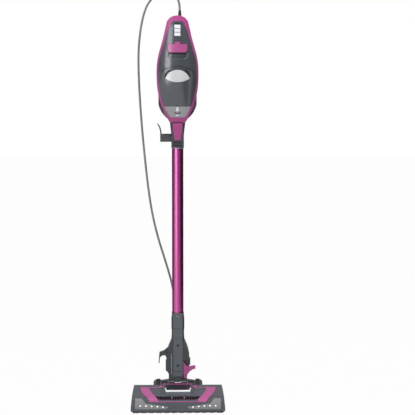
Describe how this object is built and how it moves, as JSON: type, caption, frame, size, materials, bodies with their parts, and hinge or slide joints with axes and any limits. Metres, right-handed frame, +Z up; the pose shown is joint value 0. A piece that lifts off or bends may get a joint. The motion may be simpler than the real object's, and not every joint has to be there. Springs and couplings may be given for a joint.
{
  "type": "corded stick vacuum cleaner",
  "caption": "Upright stick vacuum with a detachable hand unit, metal wand, swivelling neck and powered floor head on rear wheels.",
  "frame": {"origin": "on the floor, under the middle of the machine's footprint", "axes": "+Z up, -Y towards the front of the floor head"},
  "size_m": [0.277, 0.4585, 1.2446],
  "materials": {
    "dark_plastic": "fine-grained moulded",
    "grey_plastic": "glossy moulded",
    "magenta_plastic": "pearly moulded",
    "rubber": "matt",
    "silver_trim": "metallised",
    "clear_window": "smoked clear",
    "lamp_lens": "frosted clear",
    "lamp": "bright",
    "brush_plastic": "moulded",
    "bristle": "nylon tufts",
    "steel": "plain",
    "tyre": "smooth",
    "anodised_tube": "anodised",
    "pale_plastic": "satin",
    "clear_cup": "smoked",
    "foam": "open-cell foam",
    "cord_sheath": "satin flexible sheath",
    "brass": "plated"
  },
  "bodies": {
    "head": {"base_plate": "dark_plastic", "front_feet": "rubber", "bumper_strip": "dark_plastic", "top_shell": "grey_plastic", "trim_band": "magenta_plastic", "badge_panel": "dark_plastic", "badge_rim": "silver_trim", "brush_window": "clear_window", "lamp_lenses": "lamp_lens", "lamps": "lamp", "brush_bearings": "steel", "drive_belt": "rubber", "brush_motor": "steel", "pivot_blocks": "dark_plastic", "wheel_axles": "steel"},
    "brush_roll": {"brush_core": "brush_plastic", "bristles": "bristle"},
    "motor_pinion": {"motor_pinion": "steel"},
    "wheel_left": {"tyre_left": "tyre", "wheel_hub_left": "grey_plastic"},
    "wheel_right": {"tyre_right": "tyre", "wheel_hub_right": "grey_plastic"},
    "yoke": {"tilt_yoke": "dark_plastic", "swivel_pin": "steel"},
    "neck": {"neck_housing": "dark_plastic", "neck_front_plate": "grey_plastic", "neck_screws": "steel", "side_caps": "grey_plastic", "lower_hook": "dark_plastic", "pedal_pin": "steel"},
    "pedal": {"release_pedal": "magenta_plastic"},
    "wand": {"wand_tube": "anodised_tube", "collar": "dark_plastic", "hook_barrel": "dark_plastic"},
    "wand_button": {"release_button": "magenta_plastic"},
    "cord_hook": {"cord_hook": "dark_plastic"},
    "hand_unit": {"frame_band": "magenta_plastic", "nose_window": "pale_plastic", "front_cover": "grey_plastic", "badge_plate": "silver_trim", "grip_cover": "grey_plastic", "rear_housing": "dark_plastic", "handle_grip": "rubber", "inlet_duct": "dark_plastic", "motor_can": "steel", "switch_body": "dark_plastic", "strain_relief": "rubber", "cord": "cord_sheath", "cord_coil": "cord_sheath", "cord_tie": "rubber", "plug_body": "rubber", "plug_blades": "brass"},
    "switch_slider": {"switch_slider": "pale_plastic"},
    "front_latch": {"front_latch": "magenta_plastic"},
    "dust_cup": {"dust_cup": "clear_cup", "foam_filter": "foam", "mesh_screen": "steel", "door_pin": "steel"},
    "cup_door": {"cup_door": "dark_plastic"},
    "fan": {"fan": "dark_plastic"}
  },
  "joints": [
    {"name": "brush_spin", "type": "hinge", "parent": "head", "child": "brush_roll", "pos_m": [0, -0.0755, 0.0204], "axis": [1, 0, 0], "continuous": true},
    {"name": "pinion_spin", "type": "hinge", "parent": "head", "child": "motor_pinion", "pos_m": [-0.12, -0.027, 0.029], "axis": [1, 0, 0], "continuous": true},
    {"name": "wheel_left_spin", "type": "hinge", "parent": "head", "child": "wheel_left", "pos_m": [-0.059, 0.028, 0.038], "axis": [1, 0, 0], "continuous": true},
    {"name": "wheel_right_spin", "type": "hinge", "parent": "head", "child": "wheel_right", "pos_m": [0.059, 0.028, 0.038], "axis": [1, 0, 0], "continuous": true},
    {"name": "tilt", "type": "hinge", "parent": "head", "child": "yoke", "pos_m": [0, 0.028, 0.038], "axis": [-1, 0, 0], "range_deg": [0, 80]},
    {"name": "swivel", "type": "hinge", "parent": "yoke", "child": "neck", "pos_m": [0, 0.0225, 0.074], "axis": [0, 1, 0], "range_deg": [-28, 28]},
    {"name": "pedal_press", "type": "hinge", "parent": "neck", "child": "pedal", "pos_m": [0.022, 0.0115, 0.09], "axis": [0, 1, 0], "range_deg": [0, 8], "stiffness_Nm_per_rad": 0.4, "springref_deg": -2.86},
    {"name": "wand_slide", "type": "slide", "parent": "neck", "child": "wand", "axis": [0, 0, 1], "range_m": [0, 0.06]},
    {"name": "wand_button_press", "type": "slide", "parent": "wand", "child": "wand_button", "axis": [0, 1, 0], "range_m": [0, 0.002], "stiffness_N_per_m": 400, "springref_m": -0.0005},
    {"name": "cord_hook_turn", "type": "hinge", "parent": "wand", "child": "cord_hook", "pos_m": [-0.049, 0.0225, 0.805], "axis": [1, 0, 0], "range_deg": [0, 180]},
    {"name": "hand_unit_slide", "type": "slide", "parent": "wand", "child": "hand_unit", "axis": [0, 0, 1], "range_m": [0, 0.045]},
    {"name": "switch_slide", "type": "slide", "parent": "hand_unit", "child": "switch_slider", "axis": [0, 0.2425, 0.9701], "range_m": [0, 0.005]},
    {"name": "latch_lift", "type": "hinge", "parent": "hand_unit", "child": "front_latch", "pos_m": [0, -0.0205, 1.085], "axis": [-1, 0, 0], "range_deg": [0, 12], "stiffness_Nm_per_rad": 0.3, "springref_deg": -2.86},
    {"name": "cup_slide", "type": "slide", "parent": "hand_unit", "child": "dust_cup", "axis": [0, 1, 0], "range_m": [0, 0.06]},
    {"name": "door_swing", "type": "hinge", "parent": "dust_cup", "child": "cup_door", "pos_m": [0, 0.109, 0.886], "axis": [1, 0, 0], "range_deg": [0, 85]},
    {"name": "fan_spin", "type": "hinge", "parent": "hand_unit", "child": "fan", "pos_m": [0, 0.0535, 0.995], "axis": [0, 0, 1], "continuous": true}
  ],
  "couplings": [
    {"joint": "pinion_spin", "follows": "brush_spin", "ratio": 2}
  ]
}
